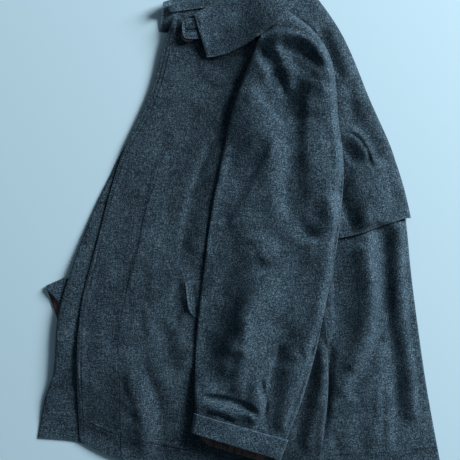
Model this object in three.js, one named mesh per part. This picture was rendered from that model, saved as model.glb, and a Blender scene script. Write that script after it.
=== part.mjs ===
// Wool mackintosh coat, folded in half along its centre back and lying on its right side.
//
// Millimetres. +X runs from the coat's front to its back, +Y from its hem to its neck and +Z
// up from the surface it lies on. The tables give places as x, and down, the distance
// from the nape towards the hem. Layers are laid one on another, from the floor up.

import * as THREE from 'three';

// Driving dimensions
const cloth = 2.4;              // woollen cloth
const cuffCloth = 3.6;          // turned-back cuff, two thicknesses pressed together
const liningCloth = 1.2;        // sleeve lining with its seam allowance
const layGap = 0.6;             // least room between layers that lie on each other
const foldRoom = 6.5;           // between the two halves of the coat, middle to middle
const turnInset = 4.5;          // the body's layers end this far inside its folds
const capeTurnInset = 12;
const hemStep = 3;              // hems below the left front's are this much shorter
const flyWidth = 72;            // the right front runs this far under the left one
const flyGap = 1.5;             // between the left front and what it lies on
const buttonRadius = 12.5;
const buttonThickness = 4.2;
const buttonRim = 1.2;          // bevel of its rim
const buttonDish = { top: 9.5, bottom: 8, floor: 3 };
const flapLength = 165;
const flapDepth = 66;
const flapCorner = 22;
const tabLength = 66;
const tabWidth = 35;
const tabCorner = 9;
const standWidth = 30;
const cuffDepth = 35;
const cuffEase = 30;            // above its cuff a sleeve lifts over this distance
// Where the sleeve ends in its cuff and the lining starts, has its middle and ends, as
// shares of the cuff's depth up from the mouth
const endShares = [0.7, 0.67, 0.33, 0];
const rightMouthLip = -16;      // the right mouth's upper edge lies this far back from its lower one
const leftMouthLip = 13;        // the left mouth's lower edge shows this far past its upper one
const leftSleeveInset = 7;      // the sleeve's flat part starts this far inside its edge
const crownEdge = 0.55;         // share of a sleeve's room that is left at its edges
const crownInset = 0.04;
const rollInset = 5;            // the collar's flat part starts this far from its roll line
const seamGap = 0.4;
const cuffStand = layGap + cuffCloth / 2 + cloth / 2;
const liningStand = cuffStand - cuffCloth / 2 - layGap - liningCloth / 2;
const flapStart = [-76, 537];
const flapAxis = [0.994, -0.11];
const tabStart = [-81, 110];
const tabAxis = [0.997, -0.07];
const buttonPlace = { x: -71, down: 119 };

// Facets
const bodyRows = 28;
const capeRows = 14;
const arcSteps = 4;             // round a fold
const leafColumns = 6;
const standColumns = 3;
const collarRows = 8;
const buttonSides = 24;
const sleeveFacets = { right: { rows: 18, columns: 5 }, left: { rows: 27, columns: 10 } };
const columnsOf = {
  capeBelow: 6,
  backBelow: 6,
  rightFrontBelow: 9,
  backAbove: 10,
  rightFrontAbove: 4,
  leftFront: 15,
  capeAbove: 8,
};

// Front edges: fold of the right front, and free edge of the left front that lies on it
const frontRows = [
  { down: 80, fold: -84, edge: -90 },
  { down: 112, fold: -98, edge: -105 },
  { down: 151, fold: -109, edge: -117 },
  { down: 194, fold: -120, edge: -128 },
  { down: 228, fold: -134, edge: -141 },
  { down: 270, fold: -156, edge: -161 },
  { down: 316, fold: -185, edge: -182 },
  { down: 355, fold: -202, edge: -195 },
  { down: 398, fold: -223, edge: -207 },
  { down: 483, fold: -257, edge: -229 },
  { down: 568, fold: -286, edge: -251 },
  { down: 610, fold: -294, edge: -256 },
  { down: 653, fold: -295, edge: -259 },
  { down: 695, fold: -298, edge: -259 },
  { down: 738, fold: -313, edge: -258 },
  { down: 806, fold: -327, edge: -255 },
];

// Centre back: the fold of the back, and the fold of the cape that lies outside it
const backRows = [
  { down: 5, back: 94, cape: 103 },
  { down: 24, back: 113, cape: 121 },
  { down: 58, back: 143, cape: 151 },
  { down: 109, back: 177, cape: 185 },
  { down: 160, back: 200, cape: 208 },
  { down: 211, back: 222, cape: 230 },
  { down: 262, back: 244, cape: 252 },
  { down: 313, back: 264, cape: 272 },
  { down: 364, back: 282, cape: 290 },
  { down: 425, back: 297, cape: 308 },
  { down: 517, back: 306, cape: 318 },
  { down: 619, back: 320, cape: 330 },
  { down: 721, back: 335, cape: 345 },
  { down: 862, back: 361, cape: 371 },
];

// Sides under the arm: the left front's edge, the back's edge below it, the right side seam
const sideRows = [
  { down: 40, front: 8, back: 52, seam: 30, cape: 66 },
  { down: 160, front: 54, back: 60, seam: 44, cape: 92 },
  { down: 279, front: 85, back: 78, seam: 60, cape: 108 },
  { down: 398, front: 119, back: 96, seam: 78, cape: 118 },
  { down: 517, front: 153, back: 112, seam: 92, cape: 122 },
  { down: 598, front: 161, back: 118, seam: 100, cape: 124 },
  { down: 660, front: 166, back: 122, seam: 104, cape: 124 },
  { down: 741, front: 165, back: 120, seam: 106, cape: 124 },
  { down: 806, front: 156, back: 116, seam: 106, cape: 124 },
  { down: 876, front: 150, back: 112, seam: 106, cape: 124 },
];

// Neck edge of the body pieces, which the collar's stand laps over
const neckRows = [
  { x: -95, down: 81 }, { x: -61, down: 86 }, { x: -38, down: 89 }, { x: -13, down: 88 },
  { x: 15, down: 78 }, { x: 45, down: 58 }, { x: 79, down: 35 }, { x: 112, down: 12 },
];

const hemRows = [
  { x: -326, down: 802 }, { x: -286, down: 804 }, { x: -255, down: 807 }, { x: -238, down: 817 },
  { x: -212, down: 829 }, { x: -180, down: 841 }, { x: -51, down: 868 }, { x: 119, down: 874 },
  { x: 238, down: 869 }, { x: 362, down: 858 },
];

const capeHemRows = [
  { x: 60, down: 480 }, { x: 182, down: 463 }, { x: 221, down: 455 }, { x: 255, down: 442 },
  { x: 284, down: 433 }, { x: 310, down: 424 },
];

// Left sleeve: both edges at each station, from the raglan point down to the mouth
const leftSleeveRows = [
  { leftX: 56, leftDown: 99, rightX: 88, rightDown: 66, room: 8 },
  { leftX: 48, leftDown: 123, rightX: 106, rightDown: 86, room: 12 },
  { leftX: 36, leftDown: 156, rightX: 132, rightDown: 108, room: 15 },
  { leftX: 24, leftDown: 190, rightX: 156, rightDown: 138, room: 17 },
  { leftX: 10, leftDown: 226, rightX: 170, rightDown: 172, room: 18 },
  { leftX: 0, leftDown: 264, rightX: 177, rightDown: 220, room: 18 },
  { leftX: -9, leftDown: 306, rightX: 183, rightDown: 272, room: 18 },
  { leftX: -19, leftDown: 355, rightX: 191, rightDown: 332, room: 18 },
  { leftX: -28, leftDown: 408, rightX: 188, rightDown: 395, room: 17 },
  { leftX: -37, leftDown: 465, rightX: 181, rightDown: 460, room: 17 },
  { leftX: -46, leftDown: 525, rightX: 172, rightDown: 522, room: 16 },
  { leftX: -53, leftDown: 580, rightX: 160, rightDown: 583, room: 16 },
  { leftX: -58, leftDown: 635, rightX: 147, rightDown: 643, room: 16 },
  { leftX: -61, leftDown: 687, rightX: 131, rightDown: 704, room: 15 },
  { leftX: -62, leftDown: 726, rightX: 114, rightDown: 755, room: 14 },
  { leftX: -60, leftDown: 758, rightX: 97, rightDown: 803, room: 12 },
  { leftX: -65, leftDown: 791, rightX: 84, rightDown: 837, room: 12 },
];

// Right sleeve: its middle line below the coat, bent once at the elbow
const rightSleeve = {
  topDown: 84, x: 66, elbowDown: 411, elbowRadius: 125, elbowTurn: 71, room: 7,
};
const rightSleeveWidths = [
  { along: 0, half: 28 }, { along: 70, half: 66 }, { along: 160, half: 92 }, { along: 300, half: 103 },
  { along: 480, half: 100 }, { along: 640, half: 88 }, { along: 765, half: 78 },
];

// Collar, left half on top: roll line, outer edge of the leaf and width of the stand
const leftCollarRows = [
  { rollX: -61, rollDown: 83, edgeX: -39, edgeDown: 156, stand: 14 },
  { rollX: -46, rollDown: 76, edgeX: -16, edgeDown: 155, stand: 20 },
  { rollX: -25, rollDown: 69, edgeX: 12, edgeDown: 144, stand: 26 },
  { rollX: 0, rollDown: 56, edgeX: 40, edgeDown: 128, stand: standWidth },
  { rollX: 30, rollDown: 36, edgeX: 70, edgeDown: 107, stand: standWidth },
  { rollX: 62, rollDown: 14, edgeX: 104, edgeDown: 75, stand: standWidth },
  { rollX: 92, rollDown: -8, edgeX: 132, edgeDown: 43, stand: standWidth },
];

// Collar, right half below: its front end stands up beside the left front's corner
const rightCollarRows = [
  { rollX: 92, rollDown: -8, edgeX: 132, edgeDown: 43, stand: standWidth, rise: 0 },
  { rollX: 58, rollDown: 8, edgeX: 96, edgeDown: 70, stand: standWidth, rise: 0 },
  { rollX: 22, rollDown: 24, edgeX: 55, edgeDown: 92, stand: standWidth, rise: 0 },
  { rollX: -15, rollDown: 38, edgeX: 10, edgeDown: 108, stand: 28, rise: 0 },
  { rollX: -50, rollDown: 48, edgeX: -38, edgeDown: 116, stand: 24, rise: 1 },
  { rollX: -86, rollDown: 57, edgeX: -86, edgeDown: 116, stand: 20, rise: 6 },
  { rollX: -114, rollDown: 70, edgeX: -120, edgeDown: 112, stand: 16, rise: 22 },
];

// Large folds of each layer: a ridge (rise above 0) or a trough along a line of points
const frontFolds = [
  { rise: 8, width: 26, line: [[-20, 270], [-42, 330], [-66, 388]] },
  { rise: 8, width: 22, line: [[-174, 610], [-168, 680], [-153, 738], [-143, 780], [-148, 860]] },
  { rise: 4, width: 18, line: [[-138, 560], [-132, 650]] },
  { rise: 3, width: 30, line: [[-170, 330], [-205, 470], [-226, 620], [-228, 850]] },
  { rise: 9, width: 20, line: [[150, 540], [156, 620], [154, 740], [144, 860]] },
  { rise: 4, width: 34, line: [[-90, 200], [-120, 330], [-140, 430]] },
];
const backFolds = [
  { rise: 15, width: 29, line: [[236, 440], [253, 545], [246, 630], [215, 690], [190, 750]] },
  { rise: 5, width: 28, line: [[258, 700], [266, 860]] },
];
const capeFolds = [
  { rise: 12, width: 24, line: [[200, 268], [231, 294], [252, 335], [262, 372], [256, 430]] },
  { rise: 4, width: 22, line: [[175, 120], [215, 200]] },
];
const sleeveFolds = [
  { rise: 8, width: 17, line: [[100, 96], [148, 136], [164, 180], [170, 240]] },
  { rise: 6, width: 34, line: [[66, 205], [58, 262], [30, 340]] },
  { rise: 6, width: 30, line: [[-6, 380], [-16, 470]] },
  { rise: 6, width: 24, line: [[168, 330], [160, 430], [148, 520]] },
  { rise: 8, width: 24, line: [[52, 570], [34, 625], [16, 700]] },
  { rise: 6, width: 20, line: [[126, 610], [112, 700], [92, 780]] },
  { rise: 8, width: 11, line: [[-44, 742], [-14, 745], [20, 758], [48, 770]] },
  { rise: 8, width: 15, line: [[44, 690], [46, 725], [42, 762]] },
  { rise: -7, width: 22, line: [[112, 170], [118, 260], [106, 400]] },
  { rise: -6, width: 20, line: [[78, 650], [66, 720]] },
  { rise: -5, width: 12, line: [[75, 138], [87, 202]] },
  { rise: -6, width: 9, line: [[-40, 724], [-10, 726], [20, 735], [46, 750]] },
];

// A smooth curve through a table: gives the column `want` at any value of the column `by`
function curve(rows, by, want) {
  const at = rows.map((row) => row[by]);
  const value = rows.map((row) => row[want]);
  const last = at.length - 1;
  const slope = value.map((_, k) => {
    const before = Math.max(k - 1, 0);
    const after = Math.min(k + 1, last);
    return (value[after] - value[before]) / (at[after] - at[before]);
  });
  return (query) => {
    const inside = Math.min(Math.max(query, at[0]), at[last]);
    let k = 0;
    while (k < last - 1 && inside > at[k + 1]) k += 1;
    const span = at[k + 1] - at[k];
    const t = (inside - at[k]) / span;
    const eased = t * t * (3 - 2 * t);
    const bend = slope[k] * (t - 2 * t * t + t ** 3) + slope[k + 1] * (t ** 3 - t * t);
    return value[k] * (1 - eased) + value[k + 1] * eased + bend * span;
  };
}

const mix = (a, b, t) => a + (b - a) * t;
const clamp = (value, low, high) => Math.min(Math.max(value, low), high);
const fold = curve(frontRows, 'down', 'fold');
const edge = curve(frontRows, 'down', 'edge');
const backFold = curve(backRows, 'down', 'back');
const capeFold = curve(backRows, 'down', 'cape');
const neck = curve(neckRows, 'x', 'down');
const hem = curve(hemRows, 'x', 'down');
const capeHem = curve(capeHemRows, 'x', 'down');
const side = (name) => curve(sideRows, 'down', name);

const foldEnd = 0.35;           // share of a fold's height that is left at its ends
const foldFade = 4;

// Height that the folds of one layer add at a place: each fades out towards its ends
function foldHeight(folds, x, down) {
  let height = 0;
  for (const { rise, width, line } of folds) {
    let nearest = Infinity;
    let along = 0;
    for (let k = 0; k + 1 < line.length; k += 1) {
      const [ax, ad] = line[k];
      const [bx, bd] = line[k + 1];
      const length = (bx - ax) ** 2 + (bd - ad) ** 2;
      const t = clamp(((x - ax) * (bx - ax) + (down - ad) * (bd - ad)) / length, 0, 1);
      const away = Math.hypot(x - mix(ax, bx, t), down - mix(ad, bd, t));
      if (away < nearest) {
        nearest = away;
        along = (k + t) / (line.length - 1);
      }
    }
    const fade = Math.min(1, foldEnd + foldFade * Math.min(along, 1 - along));
    height += rise * fade * Math.exp(-((nearest / width) ** 2));
  }
  return height;
}

// The heap: a raster of how high the cloth laid so far reaches
const heapCell = 4;
const heapSize = 280;
const heapCorner = { x: -500, down: -120 };
const heapStep = 0.7 * heapCell;
const heapTops = new Float32Array(heapSize * heapSize);
const heapIndex = (value, corner) => Math.round((value - corner) / heapCell);

function heapTop(x, down, reach) {
  const steps = Math.ceil(reach / heapCell);
  const column = heapIndex(x, heapCorner.x);
  const row = heapIndex(down, heapCorner.down);
  let top = 0;
  for (let i = -steps; i <= steps; i += 1) {
    for (let j = -steps; j <= steps; j += 1) {
      if (i * i + j * j <= steps * steps + 1) {
        top = Math.max(top, heapTops[(row + i) * heapSize + column + j]);
      }
    }
  }
  return top;
}

// Runs over the two triangles of each quad, at places no further apart than a step
function eachPlace(rows, stepLength, visit) {
  for (let i = 0; i + 1 < rows.length; i += 1) {
    for (let j = 0; j + 1 < rows[i].length; j += 1) {
      const corners = [rows[i][j], rows[i + 1][j], rows[i][j + 1], rows[i + 1][j + 1]];
      const reach = Math.max(
        Math.hypot(corners[0].x - corners[3].x, corners[0].down - corners[3].down),
        Math.hypot(corners[1].x - corners[2].x, corners[1].down - corners[2].down),
      );
      const steps = Math.max(2, Math.ceil(reach / stepLength));
      for (let a = 0; a <= steps; a += 1) {
        for (let b = 0; b <= steps; b += 1) {
          const low = a + b <= steps;
          const weights = low
            ? [1 - (a + b) / steps, a / steps, b / steps, 0]
            : [0, 1 - b / steps, 1 - a / steps, (a + b) / steps - 1];
          visit(corners, weights);
        }
      }
    }
  }
}

const blend = (corners, weights, name) => corners.reduce((sum, p, k) => sum + weights[k] * p[name], 0);

// Raises the heap with the upper side of a laid grid
function layOnHeap(rows) {
  eachPlace(rows, heapStep, (corners, weights) => {
    const column = heapIndex(blend(corners, weights, 'x'), heapCorner.x);
    const row = heapIndex(blend(corners, weights, 'down'), heapCorner.down);
    const top = blend(corners, weights, 'z') + blend(corners, weights, 'half');
    const index = row * heapSize + column;
    heapTops[index] = Math.max(heapTops[index], top);
  });
}

const guess = { top: 60, bottom: 800, passes: 12, share: 0.7 };

// A flat grid between two edges, given by down, and two ends, given by x: each place starts
// from a guess and is moved towards where its row and its column cross
function sheet({ rows, columns, left, right, top, bottom }) {
  return Array.from({ length: rows + 1 }, (_, i) => Array.from({ length: columns + 1 }, (_, j) => {
    let down = mix(guess.top, guess.bottom, i / rows);
    let x = mix(left(down), right(down), j / columns);
    for (let pass = 0; pass < guess.passes; pass += 1) {
      down = mix(top(x), bottom(x), i / rows);
      x = mix(x, mix(left(down), right(down), j / columns), guess.share);
    }
    return { x, down };
  }));
}

const steepest = 1.5;

// Half the height of a wall of even thickness, from the slope of its middle
function setHalves(rows) {
  const last = rows.length - 1;
  rows.forEach((row, i) => row.forEach((point, j) => {
    const [a, b] = [rows[Math.max(i - 1, 0)][j], rows[Math.min(i + 1, last)][j]];
    const [c, d] = [row[Math.max(j - 1, 0)], row[Math.min(j + 1, row.length - 1)]];
    const slopeDown = (b.z - a.z) / Math.max(1, Math.hypot(b.x - a.x, b.down - a.down));
    const slopeAcross = (d.z - c.z) / Math.max(1, Math.hypot(d.x - c.x, d.down - c.down));
    point.half = (cloth / 2) * Math.min(steepest, Math.hypot(1, slopeDown, slopeAcross));
  }));
}

function smoothHeights(rows, floor) {
  const last = rows.length - 1;
  const next = rows.map((row, i) => row.map((point, j) => {
    const near = [rows[Math.max(i - 1, 0)][j], rows[Math.min(i + 1, last)][j],
      row[Math.max(j - 1, 0)], row[Math.min(j + 1, row.length - 1)]];
    const even = near.reduce((sum, p) => sum + p.z, 0) / near.length;
    return Math.max(floor[i][j], even);
  }));
  rows.forEach((row, i) => row.forEach((point, j) => { point.z = next[i][j]; }));
}

// The lowest place for a wall's underside: a gap above other cloth, or on the floor itself,
// raised there only by what is worn outside the wall, as a cuff is round its sleeve
const restOn = (top, gap, worn) => (top > 0 ? top + gap + worn : worn);

const bodyPasses = 8;
const sleevePasses = 4;
const clearPasses = 8;

// Lays a grid on the heap as cloth would lie: it spans the hollows and clears what is below
function drape(rows, { gap = layGap, lift = () => 0, passes = bodyPasses } = {}) {
  const floor = rows.map((row) => row.map((p) => (
    restOn(heapTop(p.x, p.down, heapCell * 2), gap, p.worn || 0) + cloth / 2
  )));
  rows.forEach((row, i) => row.forEach((p, j) => { p.z = floor[i][j]; }));
  for (let pass = 0; pass < passes; pass += 1) smoothHeights(rows, floor);
  rows.forEach((row) => row.forEach((p) => { p.z += lift(p); }));
  for (let pass = 0; pass < clearPasses; pass += 1) {
    setHalves(rows);
    rows.forEach((row) => row.forEach((p) => { p.push = 0; }));
    eachPlace(rows, heapCell, (corners, weights) => {
      const x = blend(corners, weights, 'x');
      const down = blend(corners, weights, 'down');
      const clear = blend(corners, weights, 'z') - blend(corners, weights, 'half');
      const worn = corners[0].worn === undefined ? 0 : blend(corners, weights, 'worn');
      const short = restOn(heapTop(x, down, heapCell), gap, worn) - clear;
      if (short <= 0) return;
      const share = weights.reduce((sum, w) => sum + w * w, 0);
      corners.forEach((p, k) => { p.push = Math.max(p.push, (short * weights[k]) / share); });
    });
    rows.forEach((row) => row.forEach((p) => { p.z += p.push; }));
  }
  setHalves(rows);
  layOnHeap(rows);
  return rows;
}

// Points of a wall: `at` is its middle and `out` half its thickness, towards its outer side
const place = (p) => new THREE.Vector3(p.x, -p.down, p.z);
const upFacing = (p) => ({ at: place(p), out: new THREE.Vector3(0, 0, p.half) });
const downFacing = (p) => ({ at: place(p), out: new THREE.Vector3(0, 0, -p.half) });

// The half turn of a fold, from a lower point round to an upper one
function turn(lower, upper, outward) {
  const centre = place(lower).add(place(upper)).multiplyScalar(0.5);
  const radius = (upper.z - lower.z) / 2;
  const ahead = place(upper).sub(place(lower)).multiplyScalar(0.5).setZ(0);
  return Array.from({ length: arcSteps - 1 }, (_, k) => {
    const angle = Math.PI * ((k + 1) / arcSteps - 0.5);
    const way = outward.clone().multiplyScalar(Math.cos(angle)).setZ(Math.sin(angle));
    const at = centre.clone().addScaledVector(way, radius).addScaledVector(ahead, Math.sin(angle));
    return { at, out: way.multiplyScalar(cloth / 2) };
  });
}

// A closed wall from rows of its points; a tube's rows close on themselves
function shell(rows, { tube = false } = {}) {
  const across = rows[0].length;
  const position = [];
  const index = [];
  for (const way of [1, -1]) {
    rows.forEach((row) => row.forEach(({ at, out }) => {
      position.push(at.x + way * out.x, at.y + way * out.y, at.z + way * out.z);
    }));
  }
  const outer = (i, j) => i * across + (j % across);
  const inner = (i, j) => rows.length * across + outer(i, j);
  const quad = (a, b, c, d) => index.push(a, b, c, b, d, c);
  const spans = tube ? across : across - 1;
  for (let i = 0; i + 1 < rows.length; i += 1) {
    for (let j = 0; j < spans; j += 1) {
      quad(outer(i, j), outer(i + 1, j), outer(i, j + 1), outer(i + 1, j + 1));
      quad(inner(i + 1, j), inner(i, j), inner(i + 1, j + 1), inner(i, j + 1));
    }
  }
  const last = rows.length - 1;
  for (let j = 0; j < spans; j += 1) {
    quad(inner(0, j), outer(0, j), inner(0, j + 1), outer(0, j + 1));
    quad(outer(last, j), inner(last, j), outer(last, j + 1), inner(last, j + 1));
  }
  if (!tube) {
    for (let i = 0; i < last; i += 1) {
      quad(outer(i, 0), inner(i, 0), outer(i + 1, 0), inner(i + 1, 0));
      quad(inner(i, spans), outer(i, spans), inner(i + 1, spans), outer(i + 1, spans));
    }
  }
  return outwards(position, index);
}

// Turns the faces over if they point inwards
function outwards(position, index) {
  const corner = (k) => new THREE.Vector3().fromArray(position, index[k] * 3);
  let volume = 0;
  for (let k = 0; k < index.length; k += 3) {
    volume += corner(k).dot(corner(k + 1).cross(corner(k + 2)));
  }
  if (volume < 0) {
    for (let k = 0; k < index.length; k += 3) [index[k], index[k + 1]] = [index[k + 1], index[k]];
  }
  const geometry = new THREE.BufferGeometry();
  geometry.setAttribute('position', new THREE.Float32BufferAttribute(position, 3));
  geometry.setIndex(index);
  return geometry;
}

// A piece folded in half: its lower half, the turn, and its upper half back over it
function foldedRows(lowerHalf, upperHalf, outward) {
  return lowerHalf.map((row, i) => [
    ...row.map(downFacing),
    ...turn(row[row.length - 1], upperHalf[i][0], outward),
    ...upperHalf[i].map(upFacing),
  ]);
}

const towardsFront = new THREE.Vector3(-1, 0, 0);
const towardsBack = new THREE.Vector3(1, 0, 0);

// Places along a sleeve: even steps to the cuff, then those in it
function endedStations(count, end, depth) {
  const steps = Array.from({ length: count + 1 }, (_, k) => ((end - depth) * k) / count);
  return [...steps, ...endShares.map((share) => end - share * depth)];
}

const lipFade = 5;

// A flattened tube: its lower wall lies on the heap, and its upper wall stands off it
function sleeveWalls(stations, { columns, inset, roomAt, lowerLip = 0, upperLip = 0 }) {
  const mouth = stations.length - 1;
  const inCuff = [...endShares].reverse();
  const lipFrom = (c) => Math.min(1, lipFade * Math.min(c, 1 - c));
  const lipShare = (i) => (mouth - i < inCuff.length ? 1 - inCuff[mouth - i] : 0);
  const wallRows = (lip) => stations.map((station, i) => {
    const { left, right, way } = station;
    const width = Math.hypot(right[0] - left[0], right[1] - left[1]);
    return Array.from({ length: columns + 1 }, (_, j) => {
      const c = mix(inset / width, 1 - inset / width, j / columns);
      const reach = lip * lipShare(i) * lipFrom(j / columns);
      return {
        x: mix(left[0], right[0], c) + way[0] * reach,
        down: mix(left[1], right[1], c) + way[1] * reach,
        worn: station.cuffed ? cuffStand + cuffCloth / 2 - cloth / 2 : 0,
      };
    });
  });
  const lower = drape(wallRows(lowerLip), { passes: sleevePasses });
  const upper = wallRows(upperLip);
  upper.forEach((row, i) => row.forEach((p, j) => {
    p.z = lower[i][j].z + roomAt(stations[i], j / columns, p);
  }));
  setHalves(upper);
  layOnHeap(upper.map((row, i) => row.map((p) => (
    stations[i].cuffed ? { ...p, half: cuffStand + cuffCloth / 2 } : p
  ))));
  return stations.map(({ left, right }, i) => {
    const outward = new THREE.Vector3(right[0] - left[0], left[1] - right[1], 0).normalize();
    const rightTurn = turn(lower[i][columns], upper[i][columns], outward);
    const leftTurn = turn(lower[i][0], upper[i][0], outward.clone().negate());
    return [
      ...lower[i].map(downFacing), ...rightTurn, ...upper[i].map(upFacing).reverse(), ...leftTurn.reverse(),
    ];
  });
}

// The same tube rows moved out by a distance, with another wall
function tubeRows(walls, from, to, distance, wall) {
  return walls.slice(from, to + 1).map((points) => points.map(({ at, out }) => {
    const way = out.clone().normalize();
    return { at: at.clone().addScaledVector(way, distance), out: way.multiplyScalar(wall / 2) };
  }));
}

const coat = new THREE.Group();
const wool = (color) => new THREE.MeshStandardMaterial({ color, roughness: 0.95, metalness: 0 });
const liningMaterial = (color) => new THREE.MeshStandardMaterial({ color, roughness: 0.6, metalness: 0 });

function add(name, geometry, material) {
  const mesh = new THREE.Mesh(geometry, material);
  mesh.name = name;
  coat.add(mesh);
}

// Collar rows as places: leaf from its outer edge to the roll, then the stand back to the seam
function collarHalf(table) {
  const rows = table.map((row, k) => ({ rise: 0, ...row, k }));
  const read = (name) => curve(rows, 'k', name);
  const names = ['rollX', 'rollDown', 'edgeX', 'edgeDown', 'stand', 'rise'];
  const columns = Object.fromEntries(names.map((name) => [name, read(name)]));
  const leaf = [];
  const stand = [];
  for (let i = 0; i <= collarRows; i += 1) {
    const row = (i / collarRows) * (table.length - 1);
    const at = Object.fromEntries(names.map((name) => [name, columns[name](row)]));
    const length = Math.hypot(at.edgeX - at.rollX, at.edgeDown - at.rollDown);
    const way = [(at.edgeX - at.rollX) / length, (at.edgeDown - at.rollDown) / length];
    const away = (distance, rise) => ({
      x: at.rollX + way[0] * distance, down: at.rollDown + way[1] * distance, rise,
    });
    leaf.push(Array.from({ length: leafColumns + 1 }, (_, j) => {
      const t = j / leafColumns;
      return away(mix(length, rollInset, t), at.rise * t);
    }));
    stand.push(Array.from({ length: standColumns + 1 }, (_, j) => {
      const t = j / standColumns;
      return away(mix(rollInset, at.stand, t), at.rise * (1 - t));
    }));
  }
  return { leaf, stand };
}

const leftCollar = collarHalf(leftCollarRows);
const rightCollar = collarHalf(rightCollarRows);

// Floor layers: right half of the collar's leaf, then the right sleeve with its cuff
drape(rightCollar.leaf, { lift: (p) => p.rise });

const rightHalfWidth = curve(rightSleeveWidths, 'along', 'half');
const rightSleeveLength = rightSleeveWidths[rightSleeveWidths.length - 1].along;

function rightSleeveStation(along) {
  const { topDown, x, elbowDown, elbowRadius, elbowTurn } = rightSleeve;
  const turnAngle = THREE.MathUtils.degToRad(elbowTurn);
  const upperArm = elbowDown - topDown;
  const angle = clamp((along - upperArm) / elbowRadius, 0, turnAngle);
  const way = [-Math.sin(angle), Math.cos(angle)];
  const past = Math.max(0, along - upperArm - elbowRadius * turnAngle);
  const centre = [
    x - elbowRadius * (1 - Math.cos(angle)) + way[0] * past,
    Math.min(topDown + along, elbowDown) + elbowRadius * Math.sin(angle) + way[1] * past,
  ];
  const half = rightHalfWidth(along);
  return {
    left: [centre[0] - way[1] * half, centre[1] + way[0] * half],
    right: [centre[0] + way[1] * half, centre[1] - way[0] * half],
    way,
    cuffed: along > rightSleeveLength - cuffDepth - cuffEase,
  };
}

const rightWalls = sleeveWalls(
  endedStations(sleeveFacets.right.rows, rightSleeveLength, cuffDepth).map(rightSleeveStation),
  {
    columns: sleeveFacets.right.columns,
    inset: rightSleeve.room / 2,
    roomAt: () => rightSleeve.room,
    upperLip: rightMouthLip,
  },
);

// The coat's halves: what lies on the floor, then what lies on top
const rightStand = drape(rightCollar.stand, { lift: (p) => p.rise });

const shortHem = (x) => hem(x) - hemStep;
const bodySheet = (name, left, right, bottom = shortHem) => sheet({
  rows: bodyRows, columns: columnsOf[name], left, right, top: neck, bottom,
});
const capeSheet = (name) => sheet({
  rows: capeRows,
  columns: columnsOf[name],
  left: side('cape'),
  right: inside(capeFold, capeTurnInset),
  top: neck,
  bottom: capeHem,
});
const inside = (line, inset) => (down) => line(down) - inset;
const reversed = (rows) => rows.map((row) => [...row].reverse());
const halvesApart = foldRoom - cloth;
const belowGap = 2 * layGap;
const seamLine = side('seam');
const backTurn = inside(backFold, turnInset);
const frontTurn = inside(fold, -turnInset);

const capeBelow = drape(capeSheet('capeBelow'));
const backBelow = drape(
  bodySheet('backBelow', inside(seamLine, -seamGap / 2), backTurn), { gap: belowGap },
);
const rightFrontBelow = drape(
  bodySheet('rightFrontBelow', frontTurn, inside(seamLine, seamGap / 2)), { gap: belowGap },
);

const backAbove = drape(bodySheet('backAbove', side('back'), backTurn), {
  gap: halvesApart, lift: (p) => foldHeight(backFolds, p.x, p.down),
});
const flyEdge = (down) => edge(down) + flyWidth;
const rightFrontAbove = drape(bodySheet('rightFrontAbove', frontTurn, flyEdge, hem), { gap: halvesApart });

add('right_front', shell(foldedRows(reversed(rightFrontBelow), rightFrontAbove, towardsFront)), wool(0x36495a));
add('back', shell(foldedRows(backBelow, reversed(backAbove), towardsBack)), wool(0x3b4f5f));

const leftFront = drape(bodySheet('leftFront', edge, side('front'), hem), {
  gap: flyGap, lift: (p) => foldHeight(frontFolds, p.x, p.down),
});
add('left_front', shell(leftFront.map((row) => row.map(upFacing))), wool(0x384c5c));

const cornerCut = (distance, radius) => (
  distance < radius ? radius - Math.sqrt(radius ** 2 - (radius - distance) ** 2) : 0
);

// A small flat piece along an axis, its columns closer together at its ends
function patch({ start, axis, length, rows, columns, low, high }) {
  return Array.from({ length: rows + 1 }, (_, i) => Array.from({ length: columns + 1 }, (_, j) => {
    const along = length * (0.5 - 0.5 * Math.cos((Math.PI * j) / columns));
    const across = mix(low(along), high(along), i / rows);
    return {
      x: start[0] + axis[0] * along - axis[1] * across,
      down: start[1] + axis[1] * along + axis[0] * across,
    };
  }));
}

const flap = drape(patch({
  start: flapStart,
  axis: flapAxis,
  length: flapLength,
  rows: 4,
  columns: 10,
  low: () => 0,
  high: (along) => flapDepth - cornerCut(along, flapCorner) - cornerCut(flapLength - along, flapCorner),
}));
add('left_pocket_flap', shell(flap.map((row) => row.map(upFacing))), wool(0x3a4e5e));

const capeAbove = drape(capeSheet('capeAbove'), {
  lift: (p) => foldHeight(capeFolds, p.x, p.down),
});
add('cape', shell(foldedRows(capeBelow, reversed(capeAbove), towardsBack)), wool(0x40546a));

const leftStand = drape(leftCollar.stand);

// Throat button on the left front's top corner, and the tab that covers most of it
const buttonBase = heapTop(buttonPlace.x, buttonPlace.down, buttonRadius + heapCell) + layGap;
const buttonProfile = [
  [0, 0], [buttonRadius - buttonRim, 0], [buttonRadius, buttonRim],
  [buttonRadius, buttonThickness - buttonRim], [buttonRadius - buttonRim, buttonThickness],
  [buttonDish.top, buttonThickness], [buttonDish.bottom, buttonDish.floor], [0, buttonDish.floor],
].map(([r, z]) => new THREE.Vector2(r, z));
const button = new THREE.LatheGeometry(buttonProfile, buttonSides);
button.rotateX(Math.PI / 2);
button.translate(buttonPlace.x, -buttonPlace.down, buttonBase);
layOnHeap([-1, 0, 1].map((a) => [-1, 0, 1].map((b) => ({
  x: buttonPlace.x + a * buttonRadius,
  down: buttonPlace.down + b * buttonRadius,
  z: buttonBase + buttonThickness,
  half: 0,
}))));
add('throat_button', button, new THREE.MeshStandardMaterial({ color: 0x241d1a, roughness: 0.3, metalness: 0 }));

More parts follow.
